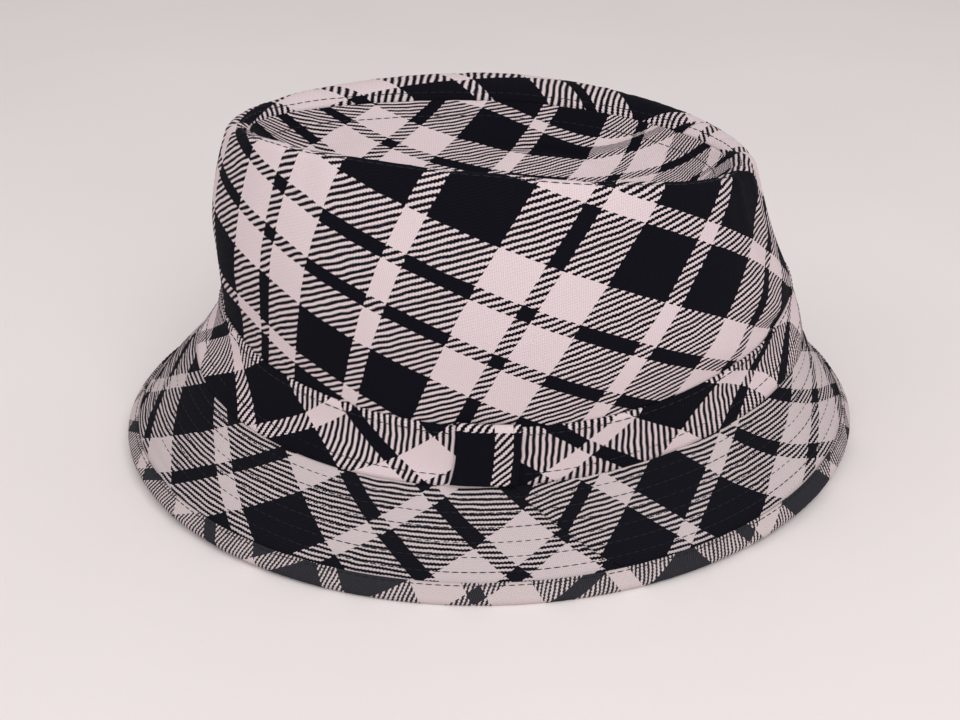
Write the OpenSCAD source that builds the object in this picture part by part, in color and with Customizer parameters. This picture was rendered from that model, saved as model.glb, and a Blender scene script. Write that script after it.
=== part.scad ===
// Soft plaid bucket hat, lying on its brim with its crown dented in.
// +Z is up, the front of the hat is towards -X and the wearer's left side is towards -Y.
// The origin is the middle of the brim's outline, on the surface that the hat lies on.
// Every piece of cloth is a closed shell made from one of three surfaces: the crown's wall
// with its rolled rim, the dented tip, and the brim. Pieces lie on each other a named gap apart.

/* [Brim] */
// Length of the brim's outline, front to back
brim_len = 255; // [246:1:280]
// Width of the brim's outline, side to side
brim_wid = 211; // [202:1:235]
// Height of the seam between brim and crown above the brim's edge
brim_rise = 26.4; // [22:0.2:36]
// Height by which both ends of the brim's edge stand above its middle height
edge_arch = 2.2; // [0:0.1:3]
// Thickness of each brim cloth, above and below
brim_cloth_t = 0.8; // [0.5:0.05:1.2]
// Thickness of the stiffening between the two brim cloths
brim_core_t = 0.5; // [0.3:0.05:1]
// Width of the bias binding on each face of the brim's edge
binding_w = 4.6; // [3.5:0.1:6]
// Thickness of the bias binding
binding_t = 0.7; // [0.4:0.05:1]
// Angle at which the joining seam on the wearer's left leaves the crown
brim_seam_at = 270; // [265:1:290]
// Angle that the joining seams run round between the crown and the brim's edge
brim_seam_run = 20; // [10:1:30]

/* [Crown] */
// Length of the crown at the seam with the brim
root_len = 208; // [198:1:216]
// Width of the crown at the seam with the brim
root_wid = 163; // [155:1:172]
// Length of the crown at the top of the hat band
waist_len = 190; // [184:1:198]
// Width of the crown at the top of the hat band
waist_wid = 160; // [152:1:168]
// Length of the crown where its wall meets the rolled rim
top_len = 166; // [158:1:176]
// Width of the crown where its wall meets the rolled rim
top_wid = 138; // [130:1:148]
// Height of the wall from the brim's seam to the rolled rim
wall_h = 76; // [68:1:84]
// Thickness of the crown's cloth
crown_cloth_t = 0.8; // [0.5:0.05:1.2]
// Thickness of the stiffening fused to the crown's cloth
crown_core_t = 0.3; // [0.2:0.05:0.5]
// Thickness of the lining
lining_t = 0.4; // [0.2:0.05:0.6]

/* [Rim and tip] */
// Radius of the rim's sharp fold on the wearer's left
rim_fold_r = 2.5; // [2.2:0.1:4]
// Radius by which the rim's roll is softer on the wearer's right than on the left
rim_soft_r = 15; // [6:0.5:17]
// Angle round the roll at which the side is sewn to the tip, with 90 at the top
tip_seam_at = 135; // [125:1:140]
// Depth of the dent below the middle height of the rim
dent_depth = 26; // [14:0.5:30]
// Distance of the dent's lowest point from the middle of the rim, towards the wearer's left
dent_offset = 9; // [0:0.5:14]
// How far the tip follows the roll before it turns towards the dent
dent_shoulder = 18; // [12:0.5:20]

/* [Slouch] */
// Shift of the crown's root from the middle of the brim, towards the back
root_shift = 4.6; // [0:0.2:6]
// Height by which both ends of the root stand above its middle height
root_arch = 4.8; // [0:0.1:6]
// Share by which the root is narrower towards the back, in hundredths
root_taper = 7; // [0:1:9]
// Shift of the crown at the top of the hat band, towards the back
waist_shift = 6.1; // [3:0.2:8]
// Shift of the crown at the top of the hat band, towards the wearer's left
waist_side_shift = 1.7; // [0:0.1:3]
// Shift of the rim towards the back
top_shift = 2.4; // [0:0.2:6]
// Shift of the rim towards the wearer's left
top_side_shift = 5.8; // [2:0.2:9]
// Height by which the front of the rim stands above its middle, and the back below it
rim_lean = 6.7; // [3:0.1:10]
// Height by which the left of the rim stands above its middle, and the right below it
rim_side_lean = 9.9; // [6:0.1:13]
// Height by which both ends of the rim sag below its middle height
rim_sag = 2.2; // [0:0.1:4]
// Share by which the rim is wider towards the back, in hundredths
rim_taper = 14; // [0:1:16]
// How far the wall bellies out above the hat band
belly = 2.4; // [0:0.1:4]
// Shift of the belly towards the wearer's left
belly_side_shift = 1.3; // [0:0.1:3]
// How far the belly hangs lower at the back than at the front
belly_lean = 7.1; // [0:0.1:8]
// How far the belly hangs lower on the wearer's right than on the left
belly_side_lean = 2.7; // [0:0.1:4]
// How far the belly hangs lower at both ends than at the sides
belly_sag = 2.4; // [0:0.1:3]

/* [Trim] */
// Height of the hat band
band_h = 20.2; // [16:0.1:23]
// Thickness of the hat band
band_t = 0.9; // [0.5:0.05:1.3]
// Width of the loop that holds the hat band
loop_w = 20; // [12:1:28]
// Thickness of the loop
loop_t = 0.9; // [0.5:0.05:1.3]
// Height that the loop stands above the hat band
loop_over = 1.2; // [0.6:0.1:2]
// Angle of the loop's middle round the crown
loop_at = 266; // [260:1:280]
// Thickness of the sweatband
sweatband_t = 0.7; // [0.5:0.05:1.2]
// Angle at which the crown, its linings and the sweatband are joined, near the back
join_at = 20; // [10:5:40]

/* [Stitching] */
// Thickness of the sewing thread
thread_d = 0.45; // [0.3:0.05:0.6]
// Distance between the rows of stitching round the brim
brim_row_pitch = 4.4; // [3:0.1:8]
// Distance of the band's stitching from its lower edge
band_row_h = 3.6; // [2:0.2:6]
// Distance of the rim's stitching from its seam, on the side and on the tip
rim_row_w = 3.2; // [2:0.2:4]

/* [Hidden] */
// Gap between two pieces of cloth that lie on each other or are sewn edge to edge
ply_gap = 0.06;
// Steps once round the hat, up the wall by one ring, round the roll, across the tip and brim
round_steps = 48;
wall_steps = 2;
roll_steps = 4;
tip_steps = 7;
brim_steps = 4;
edge_steps = 6;
loop_steps = 4;
// Angle above level at which the wall runs into the roll
roll_from = 25;
// Share of the way from the dent's middle to the seam over which its floor stays level
floor_share = 0.6;
// Height by which the rounded edge of the binding is pressed flat on the table
flat_press = 0.5;
// Ring on the wall to which the sweatband reaches, with the hat band's top as 1
sweatband_top = 1.5;

// Depths of the layers below each outer surface
crown_core_at = crown_cloth_t + ply_gap;
crown_lining_at = crown_core_at + crown_core_t + ply_gap;
sweatband_at = crown_lining_at + lining_t + ply_gap;
brim_core_at = brim_cloth_t + ply_gap;
brim_under_at = brim_core_at + brim_core_t + ply_gap;
brim_stack = brim_under_at + brim_cloth_t;
// Depth to which the crown's wall is turned down behind the brim's inner edges
root_tuck = brim_stack * norm([brim_len - root_len, 2 * brim_rise]) / (brim_len - root_len);

// A ring is [middle x, middle y, half length, half width, height, rise to the back,
// rise to the right, rise at both ends, widening to the back].
band_top_z = edge_z() + brim_rise + band_h;
rim_z = edge_z() + brim_rise + wall_h;
edge_ring = [0, 0, brim_len / 2, brim_wid / 2, edge_z(), 0, 0, edge_arch, 0];
root_ring = [root_shift, 0, root_len / 2, root_wid / 2, edge_z() + brim_rise,
             0, 0, root_arch, -root_taper / 100];
waist_ring = [waist_shift, -waist_side_shift, waist_len / 2, waist_wid / 2, band_top_z,
              0, 0, root_arch, 0];
rim_ring = [top_shift, -top_side_shift, top_len / 2, top_wid / 2, rim_z,
            -rim_lean, -rim_side_lean, -rim_sag, rim_taper / 100];
slack = [0, -belly_side_shift, belly, belly, 0, -belly_lean, -belly_side_lean, -belly_sag, 0];
belly_ring = waist_ring + (rim_ring - waist_ring) / 3 + slack;

// Height of the brim's outer surface at its edge, so that the binding round it presses flat
// on the table on the hat's left and right sides
function edge_z() =
    let (spread = (brim_wid - root_wid) / 2, drop = brim_rise - root_arch + edge_arch,
         up = spread / norm([spread, drop]), half = brim_stack / 2)
    half + ply_gap + binding_t - flat_press + up * half + edge_arch;

function unit(v) = v / norm(v);
function steps(n) = [for (i = [0:n]) i / n];
function last(v) = len(v) - 1;
function arc_angle(length, radius) = length / radius * 180 / PI;

function ring_point(r, a) =
    [r[0] + r[2] * cos(a), r[1] + r[3] * sin(a) * (1 + r[8] * cos(a)),
     r[4] + r[5] * cos(a) + r[6] * sin(a) + r[7] * cos(2 * a)];

// Outer surface of the wall: u is 0 at the brim, 1 at the band's top and 3 at the roll
function wall_point(a, u) =
    ring_point(root_ring, a) * (1 - u) * (2 - u) * (3 - u) / 6
    + ring_point(waist_ring, a) * u * (2 - u) * (3 - u) / 2
    + ring_point(belly_ring, a) * u * (u - 1) * (3 - u) / 2
    + ring_point(rim_ring, a) * u * (u - 1) * (u - 2) / 6;
function wall_normal(a, u) =
    unit(cross(wall_point(a + 0.5, u) - wall_point(a - 0.5, u),
               wall_point(a, u + 0.02) - wall_point(a, u - 0.02)));
function wall_at(a, u, out) = wall_point(a, u) + wall_normal(a, u) * out;
// Length of the wall along its surface for one unit of u, near the brim
function wall_rise(a) = norm(wall_point(a, 0.5) - wall_point(a, 0)) * 2;

// Rolled rim: p is the angle round the roll
function outward(a) = unit([top_wid * cos(a), top_len * sin(a), 0]);
function roll_r(a) = rim_fold_r + rim_soft_r * pow((1 + sin(a)) / 2, 2);
function roll_dir(a, p) = outward(a) * cos(p) + [0, 0, sin(p)];
function roll_at(a, p, out) =
    ring_point(rim_ring, a) - roll_dir(a, roll_from) * roll_r(a)
    + roll_dir(a, p) * (roll_r(a) + out);

// Dented tip: s is 0 at the seam and 1 at the lowest point
dent_low = [top_shift, -top_side_shift - dent_offset, rim_z - dent_depth];
function tip_edge_p(a) = tip_seam_at + arc_angle(ply_gap / 2, roll_r(a));
function tip_point(a, s) =
    let (p = tip_edge_p(a), e = roll_at(a, p, 0),
         shoulder = e + (roll_dir(a, p + 90)) * dent_shoulder,
         level = dent_low + [e[0] - dent_low[0], e[1] - dent_low[1], 0] * floor_share,
         q = 1 - s)
    e * q * q * q + shoulder * 3 * s * q * q + level * 3 * s * s * q + dent_low * s * s * s;
function tip_normal(a, s) =
    s == 0 ? roll_dir(a, tip_edge_p(a))
    : unit(cross(tip_point(a + 0.5, s) - tip_point(a - 0.5, s),
                 tip_point(a, s + 0.01) - tip_point(a, s - 0.01)));
function tip_at(a, s, out) = tip_point(a, s) + tip_normal(a, s) * out;

// Brim: t is 0 at the crown's wall and 1 at the edge, and each layer starts at the wall
function brim_point(a, t) = ring_point(root_ring, a) * (1 - t) + ring_point(edge_ring, a) * t;
function brim_length(a) = norm(brim_point(a, 1) - brim_point(a, 0));
function brim_normal(a) =
    unit(cross(brim_point(a + 0.5, 0.5) - brim_point(a - 0.5, 0.5),
               brim_point(a, 0) - brim_point(a, 1)));
function brim_start(a, out) =
    let (n = brim_normal(a), level = norm([n[0], n[1]]))
    (ply_gap - out * level) / (n[2] * brim_length(a));
function brim_flat_at(a, t, out) = brim_point(a, t) + brim_normal(a) * out;
function brim_at(a, t, out) =
    let (start = brim_start(a, out))
    brim_flat_at(a, start + (1 - start) * t, out);
// The brim's steps round the hat run askew, along its joining seams
function brim_angle(i, t) = brim_seam_at + brim_seam_run * t + 360 * i / round_steps;

// A closed solid through sections, each a list of points once round its edge.
// Sections pair up their points from both ends, so that open ends close in strips.
module skin(sections, ring = false) {
    m = len(sections[0]);
    n = len(sections);
    points = [for (s = sections) each s];
    sides = [for (i = [0:(ring ? n - 1 : n - 2)], j = [0:m - 1])
             let (a = i * m, b = ((i + 1) % n) * m, k = (j + 1) % m)
             each [[a + j, a + k, b + k], [a + j, b + k, b + j]]];
    z = (n - 1) * m;
    caps = ring ? [] : [for (j = [0:ceil(m / 2) - 2])
                        let (k = m - 1 - j)
                        each concat([[j, k, k - 1], [z + j, z + k - 1, z + k]],
                                    k - 1 == j + 1 ? []
                                    : [[j, k - 1, j + 1], [z + j, z + j + 1, z + k - 1]])];
    polyhedron(points, concat(sides, caps));
}

function reversed(v) = [for (i = [last(v):-1:0]) v[i]];

// Angles once round the crown from the join and back to it, a gap apart
function join_angles() =
    let (g = arc_angle(ply_gap, root_len))
    [for (i = [0:round_steps])
     join_at + 360 * i / round_steps + (i == 0 ? g : i == round_steps ? -g : 0)];

// Steps up the wall from ring a to ring b
function wall_us(a, b) = [for (i = [0:round((b - a) * wall_steps)]) a + i / wall_steps];

// One layer of the wall, with its lower edge turned down behind the brim's inner edges, and
// of the roll if it is sewn into the tip's seam
function side_section(a, us, roll, out) =
    concat([wall_at(a, 0, out) - [0, 0, root_tuck]],
           [for (u = us) if (u < 3) wall_at(a, u, out)],
           roll ? [for (i = [0:roll_steps])
                   roll_at(a, roll_from + (tip_seam_at - arc_angle(ply_gap / 2, roll_r(a))
                                           - roll_from) * i / roll_steps, out)] : []);
module side_layer(depth, t, us, roll) {
    skin([for (a = join_angles())
          concat(side_section(a, us, roll, -depth),
                 reversed(side_section(a, us, roll, -depth - t)))]);
}

// One layer of the tip, from step s0 inwards
module tip_layer(depth, t, s0) {
    rows = [for (s = steps(tip_steps)) if (s >= s0 && s < 1) s];
    m = len(rows);
    n = round_steps;
    angles = [for (i = [0:n - 1]) join_at + 360 * i / n];
    pole = [0, 0, 1];
    points = concat([for (a = angles, s = rows) tip_at(a, s, -depth)],
                    [for (a = angles, s = rows) tip_at(a, s, -depth - t)],
                    [dent_low - pole * depth, dent_low - pole * (depth + t)]);
    top = 2 * n * m;
    faces = [for (i = [0:n - 1], j = [0:m - 2])
             let (a = i * m + j, b = ((i + 1) % n) * m + j, d = n * m)
             each [[a, a + 1, b + 1], [a, b + 1, b],
                   [d + a, d + b + 1, d + a + 1], [d + a, d + b, d + b + 1]]];
    ends = [for (i = [0:n - 1])
            let (a = i * m, b = ((i + 1) % n) * m, d = n * m)
            each [[a, b, d + b], [a, d + b, d + a],
                  [a + m - 1, top, b + m - 1], [d + a + m - 1, d + b + m - 1, top + 1]]];
    polyhedron(points, concat(faces, ends));
}

// One layer of the brim between two of its steps round the hat
function brim_section(i, nudge, depth, t) =
    concat([for (s = steps(brim_steps)) brim_at(brim_angle(i, s) + nudge, s, -depth)],
           [for (s = reversed(steps(brim_steps)))
            brim_at(brim_angle(i, s) + nudge, s, -depth - t)]);
module brim_layer(depth, t, from, to) {
    g = arc_angle(ply_gap, root_wid);
    skin([for (i = [from:to])
          brim_section(i, i == from ? g : i == to ? -g : 0, depth, t)]);
}

// A sewing thread along points that lie on a surface, with the surface's normals
module thread(path, normals, ring = true) {
    n = len(path);
    r = thread_d / 2;
    skin([for (i = [0:n - 1])
          let (before = path[ring ? (i + n - 1) % n : max(i - 1, 0)],
               after = path[ring ? (i + 1) % n : min(i + 1, n - 1)],
               side = unit(cross(unit(after - before), normals[i])),
               base = path[i] + normals[i] * ply_gap)
          [base - side * r, base + side * r, base + normals[i] * thread_d]], ring);
}

module crown_side() color("whitesmoke")
    side_layer(0, crown_cloth_t, wall_us(0, 3), true);

module crown_tip() color("gainsboro")
    tip_layer(0, crown_cloth_t, 0);

module crown_side_stiffening() color("wheat")
    side_layer(crown_core_at, crown_core_t, wall_us(0, 2.5), false);

module crown_tip_stiffening() color("wheat")
    tip_layer(crown_core_at, crown_core_t, 0.1);

module crown_side_lining() color("dimgray")
    side_layer(crown_lining_at, lining_t, wall_us(0, 3), true);

module crown_tip_lining() color("gray")
    tip_layer(crown_lining_at, lining_t, 0);

module sweatband() color("black")
    side_layer(sweatband_at, sweatband_t, wall_us(0, sweatband_top), false);

// Cloth that lies on the wall between ring 0 and the top of the hat band
band_us = [0.02, 0.5, 1];
module hat_band() color("darkslategray")
    skin([for (i = [0:round_steps - 1])
          let (a = join_at + 360 * i / round_steps)
          concat([for (u = band_us) wall_at(a, u, ply_gap + band_t)],
                 [for (u = reversed(band_us)) wall_at(a, u, ply_gap)])], ring = true);

// The loop lies on the band, and its top turns in over the band's edge to the crown
module band_loop() color("black") {
    inner = ply_gap * 2 + band_t;
    half = arc_angle(loop_w / 2, root_len / 2);
    skin([for (i = [0:loop_steps])
          let (a = loop_at + half * (2 * i / loop_steps - 1),
               lip = 1 + ply_gap / wall_rise(a),
               over = 1 + loop_over / wall_rise(a))
          [wall_at(a, band_us[0], inner + loop_t), wall_at(a, 0.5, inner + loop_t),
           wall_at(a, over, inner + loop_t), wall_at(a, over, ply_gap),
           wall_at(a, lip, ply_gap), wall_at(a, lip, inner),
           wall_at(a, 0.5, inner), wall_at(a, band_us[0], inner)]]);
}

module brim_top_front() color("silver")
    brim_layer(0, brim_cloth_t, round_steps / 2, round_steps);

module brim_top_back() color("lightgray")
    brim_layer(0, brim_cloth_t, 0, round_steps / 2);

module brim_stiffening() color("wheat")
    brim_layer(brim_core_at, brim_core_t, 0, round_steps);

module brim_under_front() color("silver")
    brim_layer(brim_under_at, brim_cloth_t, round_steps / 2, round_steps);

module brim_under_back() color("lightgray")
    brim_layer(brim_under_at, brim_cloth_t, 0, round_steps / 2);

// The binding folds round the brim's edge; where it meets the table it is pressed flat
function binding_leg(i, out) =
    let (t = 1 - binding_w / brim_length(brim_angle(i, 1)))
    brim_flat_at(brim_angle(i, t), t, out);
function binding_fold(i, x, out) =
    let (a = brim_angle(i, 1), p = brim_flat_at(a, 1 + x / brim_length(a), out))
    [p[0], p[1], max(p[2], 0)];
module brim_binding() color("darkgray") {
    mid = -brim_stack / 2;
    r_in = brim_stack / 2 + ply_gap;
    r_out = r_in + binding_t;
    skin([for (i = [0:round_steps - 1])
          concat([binding_leg(i, mid + r_out)],
                 [for (k = [0:edge_steps])
                  let (p = 90 - 180 * k / edge_steps)
                  binding_fold(i, r_out * cos(p), mid + r_out * sin(p))],
                 [binding_leg(i, mid - r_out), binding_leg(i, mid - r_in),
                  binding_fold(i, ply_gap, mid - r_in), binding_fold(i, ply_gap, mid + r_in),
                  binding_leg(i, mid + r_in)])], ring = true);
}

// Rows of stitching round the brim, from the crown's seam out to the binding
brim_rows = floor((min(brim_length(0), brim_length(90)) - binding_w) / brim_row_pitch);
function brim_row(i, row) =
    let (t = row * brim_row_pitch / brim_length(brim_angle(i, 0)))
    brim_flat_at(brim_angle(i, t), t, 0);
module brim_stitching() color("black")
    for (row = [1:brim_rows])
        thread([for (i = [0:round_steps - 1]) brim_row(i, row)],
               [for (i = [0:round_steps - 1]) brim_normal(brim_angle(i, 0))]);

module binding_stitching() color("black") {
    out = ply_gap + binding_t;
    thread([for (i = [0:round_steps - 1])
            let (a = brim_angle(i, 1), t = 1 - (binding_w - thread_d * 2) / brim_length(a))
            brim_flat_at(brim_angle(i, t), t, out)],
           [for (i = [0:round_steps - 1]) brim_normal(brim_angle(i, 1))]);
}

// The band's row stops at the loop, which covers its ends
module band_stitching() color("black") {
    half = arc_angle(loop_w / 2 + thread_d, root_len / 2);
    first = loop_at + half;
    turn = 360 - 2 * half;
    angles = [for (i = [0:round_steps]) first + turn * i / round_steps];
    thread([for (a = angles) wall_at(a, band_row_h / wall_rise(a), ply_gap + band_t)],
           [for (a = angles) wall_normal(a, band_row_h / wall_rise(a))], ring = false);
}

// One row on the side and one on the tip, on each side of their seam
function rim_row_p(a) = tip_seam_at - arc_angle(rim_row_w, roll_r(a));
module rim_stitching() color("black") {
    angles = [for (i = [0:round_steps - 1]) join_at + 360 * i / round_steps];
    s = 1 / tip_steps;
    thread([for (a = angles) roll_at(a, rim_row_p(a), 0)],
           [for (a = angles) roll_dir(a, rim_row_p(a))]);
    thread([for (a = angles) tip_at(a, s, 0)], [for (a = angles) tip_normal(a, s)]);
}

crown_side();
crown_tip();
crown_side_stiffening();
crown_tip_stiffening();
crown_side_lining();
crown_tip_lining();
sweatband();
hat_band();
band_loop();
brim_top_front();
brim_top_back();
brim_stiffening();
brim_under_front();
brim_under_back();
brim_binding();
brim_stitching();
binding_stitching();
band_stitching();
rim_stitching();
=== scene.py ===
"""Soft plaid bucket hat, dressed piece by piece over its frame.

Every cloth of the hat is a thin closed shell on one of four surfaces: the crown's side with its
rolled rim, the dented tip, the brim, and the binding round the brim's edge. The plaid follows the
cloth through each piece's own cloth coordinates, which count along and across the stripes.
"""

import logging
import math
from dataclasses import dataclass, field
from enum import Enum
from typing import Callable, Dict, List, Sequence, Tuple, Union

import bmesh
import bpy
from mathutils import Matrix, Vector, noise


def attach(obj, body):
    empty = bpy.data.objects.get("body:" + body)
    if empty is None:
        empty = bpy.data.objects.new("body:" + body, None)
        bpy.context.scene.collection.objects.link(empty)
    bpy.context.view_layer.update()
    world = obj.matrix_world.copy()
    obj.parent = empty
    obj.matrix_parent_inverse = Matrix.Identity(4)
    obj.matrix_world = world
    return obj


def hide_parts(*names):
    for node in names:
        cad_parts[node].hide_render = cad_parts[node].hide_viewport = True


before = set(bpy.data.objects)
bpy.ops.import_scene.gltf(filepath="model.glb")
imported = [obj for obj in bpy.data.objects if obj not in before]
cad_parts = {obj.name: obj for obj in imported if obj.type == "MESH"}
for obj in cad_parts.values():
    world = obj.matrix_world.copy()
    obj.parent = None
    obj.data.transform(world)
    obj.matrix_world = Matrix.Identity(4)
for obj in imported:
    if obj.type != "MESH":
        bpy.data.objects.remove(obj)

LOG = logging.getLogger("bucket_hat")
MM = 0.001
CLOTH_MAP = "cloth"
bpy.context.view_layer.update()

Point = Callable[[float, float], Vector]
ClothPoint = Callable[[float, float], Tuple[float, float]]


def turn(degrees: float) -> Tuple[float, float]:
    """Cosine and sine of an angle in degrees."""
    return math.cos(math.radians(degrees)), math.sin(math.radians(degrees))


def smooth_step(low: float, high: float, value: float) -> float:
    """0 below low, 1 above high, and a smooth rise between them."""
    share = min(max((value - low) / (high - low), 0.0), 1.0)
    return share * share * (3 - 2 * share)


def bump_at(value: float, middle: float, width: float) -> float:
    """A smooth hump that is 1 at its middle and fades to either side within width."""
    return math.exp(-(((value - middle) / width) ** 2))


# ---------------------------------------------------------------------------------------------
# The hat's surfaces
# ---------------------------------------------------------------------------------------------


@dataclass(frozen=True)
class Ring:
    """An oval line round the hat that may lean and arch, in millimetres."""

    middle_x: float
    middle_y: float
    half_length: float
    half_width: float
    height: float
    rise_back: float = 0.0
    rise_right: float = 0.0
    rise_ends: float = 0.0
    widening: float = 0.0

    def point(self, angle: float) -> Vector:
        """The ring's point at an angle in degrees, from the back towards the wearer's right."""
        c, s = turn(angle)
        return Vector((
            self.middle_x + self.half_length * c,
            self.middle_y + self.half_width * s * (1 + self.widening * c),
            self.height + self.rise_back * c + self.rise_right * s
            + self.rise_ends * (2 * c * c - 1),
        ))


@dataclass(frozen=True)
class HatForm:
    """The hat's sizes in millimetres, those that the frame was built with."""

    brim_len: float = 255.0
    brim_wid: float = 211.0
    brim_rise: float = 26.4
    edge_arch: float = 2.2
    brim_cloth_t: float = 0.8
    brim_core_t: float = 0.5
    binding_w: float = 4.6
    binding_t: float = 0.7
    seam_at: float = 270.0
    seam_run: float = 20.0
    root_len: float = 208.0
    root_wid: float = 163.0
    root_shift: float = 4.6
    root_arch: float = 4.8
    root_taper: float = 0.07
    waist_len: float = 190.0
    waist_wid: float = 160.0
    waist_shift: float = 6.1
    waist_side_shift: float = 1.7
    top_len: float = 166.0
    top_wid: float = 138.0
    top_shift: float = 2.4
    top_side_shift: float = 5.8
    wall_h: float = 76.0
    rim_lean: float = 6.7
    rim_side_lean: float = 9.9
    rim_sag: float = 2.2
    rim_taper: float = 0.14
    belly: float = 2.4
    belly_side_shift: float = 1.3
    belly_lean: float = 7.1
    belly_side_lean: float = 2.7
    belly_sag: float = 2.4
    crown_cloth_t: float = 0.8
    crown_core_t: float = 0.3
    lining_t: float = 0.4
    sweatband_t: float = 0.7
    rim_fold_r: float = 2.5
    rim_soft_r: float = 15.0
    roll_from: float = 25.0
    tip_seam_at: float = 135.0
    dent_depth: float = 26.0
    dent_offset: float = 9.0
    dent_shoulder: float = 18.0
    floor_share: float = 0.6
    band_h: float = 20.2
    band_t: float = 0.9
    loop_w: float = 20.0
    loop_t: float = 0.9
    loop_over: float = 1.2
    loop_at: float = 266.0
    sweatband_top: float = 1.5
    join_at: float = 20.0
    ply_gap: float = 0.06
    flat_press: float = 0.5
    row_pitch: float = 4.4
    band_row_h: float = 3.6
    rim_row_w: float = 3.2
    creases: Tuple[Tuple[float, float, float, float], ...] = (
        (62.0, 26.0, 1.5, 0.34), (196.0, 30.0, 1.6, 0.30), (345.0, 18.0, 1.3, 0.26))

    @property
    def crown_core_at(self) -> float:
        """Depth of the crown's stiffening below its cloth's outer face."""
        return self.crown_cloth_t + self.ply_gap

    @property
    def crown_lining_at(self) -> float:
        """Depth of the lining below the crown's outer face."""
        return self.crown_core_at + self.crown_core_t + self.ply_gap

    @property
    def sweatband_at(self) -> float:
        """Depth of the sweatband below the crown's outer face."""
        return self.crown_lining_at + self.lining_t + self.ply_gap

    @property
    def brim_core_at(self) -> float:
        """Depth of the brim's stiffening below its upper face."""
        return self.brim_cloth_t + self.ply_gap

    @property
    def brim_under_at(self) -> float:
        """Depth of the under cloth below the brim's upper face."""
        return self.brim_core_at + self.brim_core_t + self.ply_gap

    @property
    def brim_stack(self) -> float:
        """Whole thickness of the brim."""
        return self.brim_under_at + self.brim_cloth_t

    @property
    def edge_z(self) -> float:
        """Middle height of the brim's upper face at its edge."""
        spread = (self.brim_wid - self.root_wid) / 2
        drop = self.brim_rise - self.root_arch + self.edge_arch
        half = self.brim_stack / 2
        return (half + self.ply_gap + self.binding_t - self.flat_press
                + spread / math.hypot(spread, drop) * half + self.edge_arch)

    @property
    def edge(self) -> Ring:
        """The brim's edge."""
        return Ring(0, 0, self.brim_len / 2, self.brim_wid / 2, self.edge_z,
                    rise_ends=self.edge_arch)

    @property
    def root(self) -> Ring:
        """The seam of brim and crown."""
        return Ring(self.root_shift, 0, self.root_len / 2, self.root_wid / 2,
                    self.edge_z + self.brim_rise, 0, 0, self.root_arch, -self.root_taper)

    @property
    def waist(self) -> Ring:
        """The crown at the top of the hat band."""
        return Ring(self.waist_shift, -self.waist_side_shift, self.waist_len / 2,
                    self.waist_wid / 2, self.root.height + self.band_h, 0, 0, self.root_arch)

    @property
    def rim(self) -> Ring:
        """The line at which the wall runs into the rolled rim."""
        return Ring(self.top_shift, -self.top_side_shift, self.top_len / 2, self.top_wid / 2,
                    self.root.height + self.wall_h, -self.rim_lean, -self.rim_side_lean,
                    -self.rim_sag, self.rim_taper)

    @property
    def bulge(self) -> Ring:
        """The wall's belly, a third of the way from the band's top to the rim."""
        low, high = self.waist, self.rim
        third = [a + (b - a) / 3 for a, b in zip(vars(low).values(), vars(high).values())]
        slack = (0, -self.belly_side_shift, self.belly, self.belly, 0,
                 -self.belly_lean, -self.belly_side_lean, -self.belly_sag, 0)
        return Ring(*(a + b for a, b in zip(third, slack)))


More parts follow.
